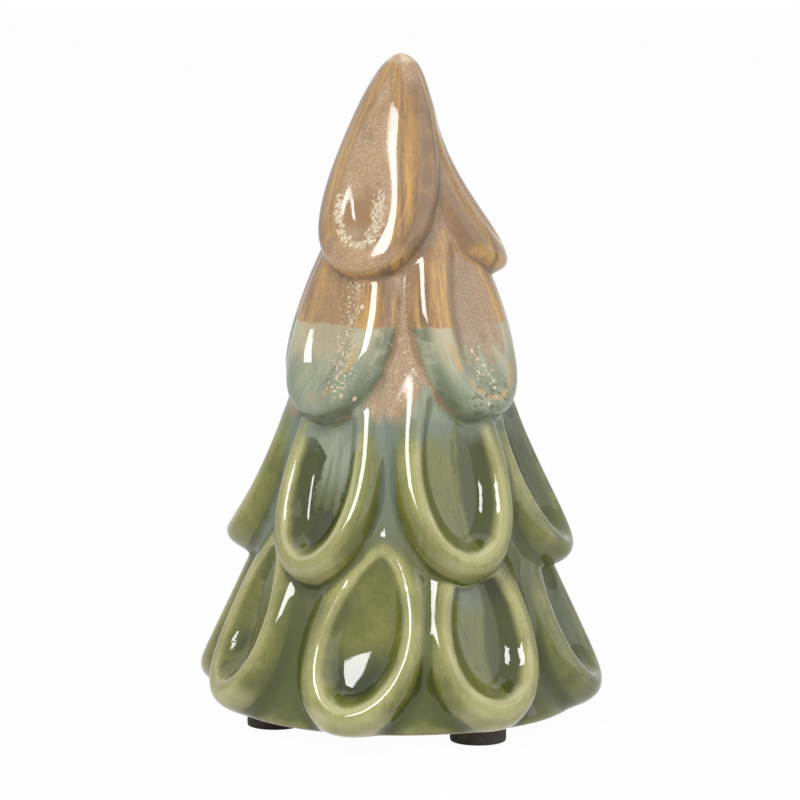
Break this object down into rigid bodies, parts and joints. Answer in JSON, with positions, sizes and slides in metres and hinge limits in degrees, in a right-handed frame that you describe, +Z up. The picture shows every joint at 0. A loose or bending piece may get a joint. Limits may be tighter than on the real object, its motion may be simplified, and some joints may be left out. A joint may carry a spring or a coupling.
{
  "type": "christmas tree figurine",
  "caption": "Hollow reactive-glazed stoneware christmas tree with tiers of scooped teardrop petals, standing on small round felt pads.",
  "frame": {"origin": "on the table under the felt pads, at the middle of the outer box seen from above", "axes": "+Z up through the tip; the side that the picture shows faces -Y and its right side is +X"},
  "size_m": [0.0875, 0.0869, 0.145],
  "materials": {
    "reactive_glaze": "high gloss running reactive glaze: caramel brown on the top tiers over pale sage, olive green below, bare foot",
    "felt": "short pressed felt, matte",
    "adhesive": "thin translucent adhesive film"
  },
  "bodies": {
    "root": {"stoneware_body": "reactive_glaze", "felt_pad_front_right": "felt", "felt_pad_left": "felt", "felt_pad_back": "felt", "adhesive_disc_front_right": "adhesive", "adhesive_disc_left": "adhesive", "adhesive_disc_back": "adhesive"}
  },
  "joints": []
}
